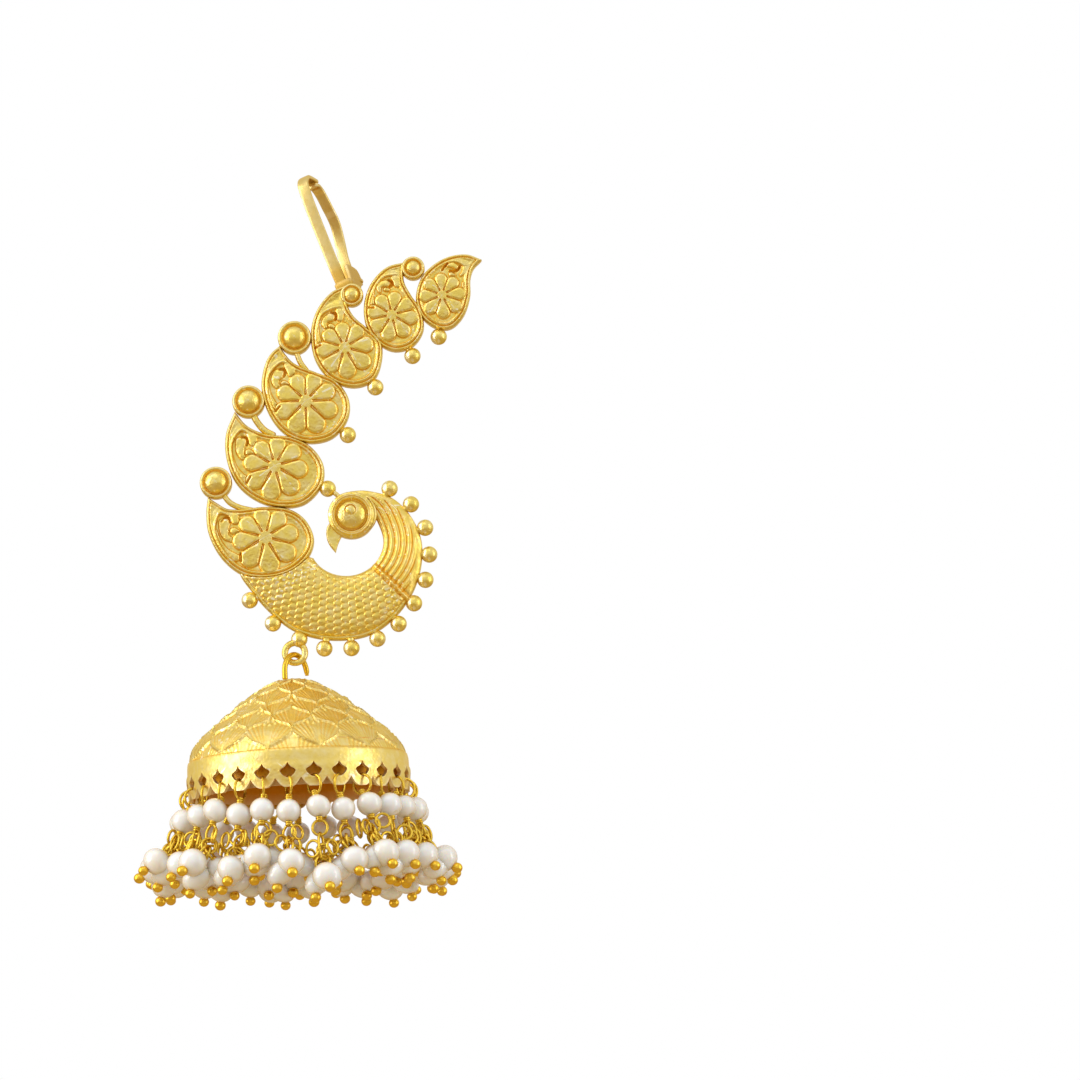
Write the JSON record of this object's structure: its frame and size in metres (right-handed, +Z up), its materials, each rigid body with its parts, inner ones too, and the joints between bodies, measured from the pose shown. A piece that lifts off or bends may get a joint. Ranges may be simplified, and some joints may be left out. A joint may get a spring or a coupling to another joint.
{
  "type": "ear cuff with a bell drop",
  "caption": "Gold ear cuff of cast paisley leaves and a peacock that follows the ear, with a lever clasp, an ear post and a hanging domed bell fringed with pearls.",
  "frame": {"origin": "foot of the ear post, on the flat back of the frame behind the peacock", "axes": "+Z up along the ear, front of the ornament faces -Y, +X to the right seen from the front"},
  "size_m": [0.0449, 0.0434, 0.0997],
  "materials": {
    "gold_cast": "satin yellow gold plating on cast brass",
    "gold_pressed": "satin yellow gold plating on pressed sheet, browner inside",
    "gold_wire": "brighter drawn wire, gold plated",
    "pearl": "white imitation pearl with a cream sheen"
  },
  "bodies": {
    "cuff": {"cuff_frame": "gold_cast", "ear_post": "gold_cast"},
    "lever": {"clasp_lever": "gold_cast"},
    "bell": {"bell_dome": "gold_pressed", "bell_hook": "gold_wire", "pearl_strand_01": "pearl", "pearl_strand_02": "pearl", "pearl_strand_03": "pearl", "pearl_strand_04": "pearl", "pearl_strand_05": "pearl", "pearl_strand_06": "pearl", "pearl_strand_07": "pearl", "pearl_strand_08": "pearl", "pearl_strand_09": "pearl", "pearl_strand_10": "pearl", "pearl_strand_11": "pearl", "pearl_strand_12": "pearl", "pearl_strand_13": "pearl", "pearl_strand_14": "pearl", "pearl_strand_15": "pearl", "pearl_strand_16": "pearl", "pearl_strand_17": "pearl", "pearl_strand_18": "pearl", "pearl_strand_19": "pearl", "pearl_strand_20": "pearl", "pearl_strand_21": "pearl", "pearl_strand_22": "pearl", "pearl_strand_23": "pearl", "pearl_strand_24": "pearl", "pearl_strand_25": "pearl", "pearl_strand_26": "pearl", "pearl_strand_27": "pearl"}
  },
  "joints": [
    {"name": "clasp_open", "type": "hinge", "parent": "cuff", "child": "lever", "pos_m": [0.00726, 0.00483, 0.04145], "axis": [-0.8956, 0.2588, -0.3618], "range_deg": [0, 60]},
    {"name": "bell_swing", "type": "hinge", "parent": "cuff", "child": "bell", "pos_m": [-0.00015, -0.0011, -0.01051], "axis": [1, 0, 0], "range_deg": [-30, 30]}
  ]
}
